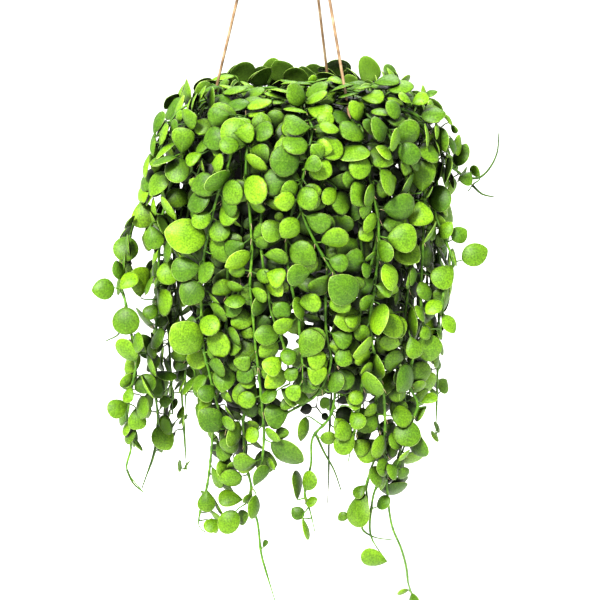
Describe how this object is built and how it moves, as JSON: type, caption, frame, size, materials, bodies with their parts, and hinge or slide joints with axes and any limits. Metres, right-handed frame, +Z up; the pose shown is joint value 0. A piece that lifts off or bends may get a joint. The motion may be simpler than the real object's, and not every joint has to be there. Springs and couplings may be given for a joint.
{
  "type": "potted dischidia imbricata",
  "caption": "Hanging pot of trailing vine: leafy strands spill over the rim and hang in a curtain, on wire hangers gathered under a hook.",
  "frame": {"origin": "seat of the hook: the lowest point of the underside of its bend, where it bears on what carries it, straight above the pot's axis", "axes": "+Z up along the pot's axis; -Y towards the viewer of the picture; +X to the viewer's right"},
  "size_m": [0.3744, 0.3104, 0.8426],
  "materials": {
    "pot_plastic": "dull moulded plastic",
    "husk": "rough damp coconut husk",
    "rusty_steel": "lightly rusted wire",
    "foliage": "waxy living leaf"
  },
  "bodies": {
    "root": {"pot": "pot_plastic", "potting_mix": "husk", "hanger_wire_1": "rusty_steel", "hanger_wire_2": "rusty_steel", "hanger_wire_3": "rusty_steel", "hook": "rusty_steel", "strand_front_01": "foliage", "strand_front_02": "foliage", "strand_front_03": "foliage", "strand_front_04": "foliage", "strand_front_05": "foliage", "strand_front_06": "foliage", "strand_front_07": "foliage", "strand_front_08": "foliage", "strand_front_09": "foliage", "strand_front_10": "foliage", "strand_front_11": "foliage", "strand_front_12": "foliage", "strand_front_13": "foliage", "strand_front_14": "foliage", "strand_front_15": "foliage", "strand_front_16": "foliage", "strand_front_17": "foliage", "strand_front_18": "foliage", "strand_front_19": "foliage", "strand_front_20": "foliage", "strand_front_21": "foliage", "strand_front_22": "foliage", "strand_front_23": "foliage", "strand_side_01": "foliage", "strand_side_02": "foliage", "strand_side_03": "foliage", "strand_side_04": "foliage", "strand_side_05": "foliage", "strand_side_06": "foliage", "strand_side_07": "foliage", "strand_side_08": "foliage", "strand_side_09": "foliage", "strand_side_10": "foliage", "strand_side_11": "foliage", "strand_side_12": "foliage", "strand_side_13": "foliage", "strand_side_14": "foliage", "strand_side_15": "foliage", "strand_side_16": "foliage", "strand_side_17": "foliage", "strand_side_18": "foliage", "strand_side_19": "foliage", "strand_side_20": "foliage"}
  },
  "joints": []
}
